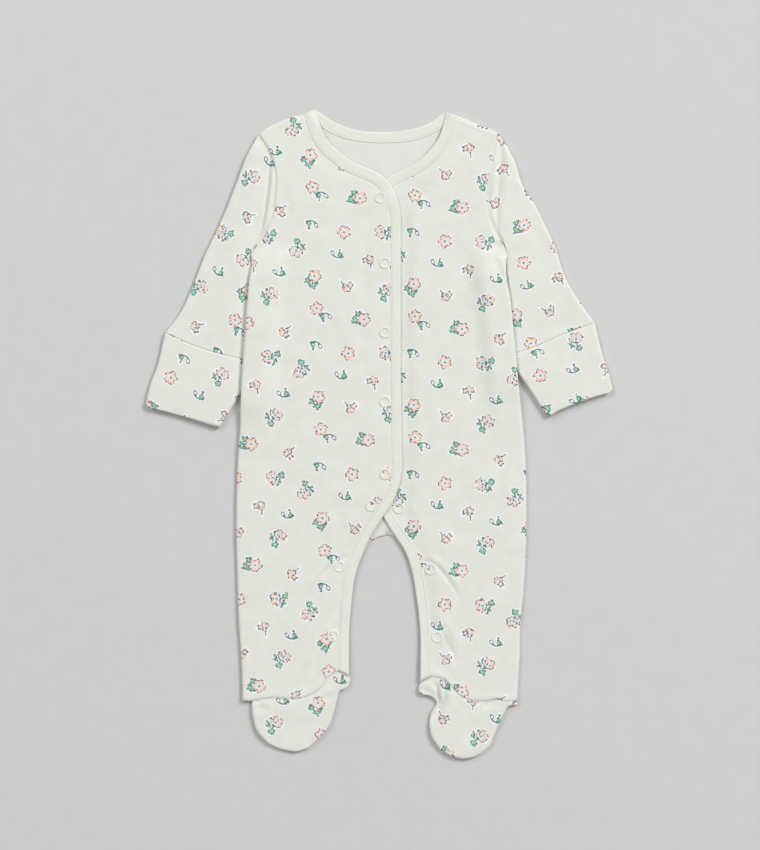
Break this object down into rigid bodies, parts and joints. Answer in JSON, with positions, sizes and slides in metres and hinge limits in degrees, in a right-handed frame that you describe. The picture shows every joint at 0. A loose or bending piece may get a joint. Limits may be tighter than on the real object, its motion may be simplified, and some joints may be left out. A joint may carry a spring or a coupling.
{
  "type": "footed baby sleepsuit",
  "caption": "Long-sleeved footed baby sleepsuit in printed jersey, laid flat on its back, with a bound open neck, a snapped front placket and snapped inner legs, wide cuffs and closed feet.",
  "frame": {"origin": "on the surface that the garment lies on, under the middle of its bounding box", "axes": "+X to the wearer's left, +Y up the garment to the neck, +Z out through the front, away from the surface"},
  "size_m": [0.3974, 0.5521, 0.0081],
  "materials": {
    "jersey": "ivory cotton jersey with a small peach, blue and green flower print, matt",
    "binding": "plain cream folded jersey binding, matt",
    "snap": "cream open-ring snap cap, satin"
  },
  "bodies": {
    "root": {"back": "jersey", "right_front": "jersey", "left_front": "jersey", "right_sleeve": "jersey", "left_sleeve": "jersey", "right_cuff": "jersey", "left_cuff": "jersey", "right_foot_top": "jersey", "left_foot_top": "jersey", "right_sole": "jersey", "left_sole": "jersey", "neck_band": "binding", "right_band": "binding", "left_band": "binding", "snap_01": "snap", "snap_02": "snap", "snap_03": "snap", "snap_04": "snap", "snap_05": "snap", "snap_06": "snap", "snap_07": "snap", "snap_08": "snap", "snap_09": "snap", "snap_10": "snap", "snap_11": "snap"}
  },
  "joints": []
}
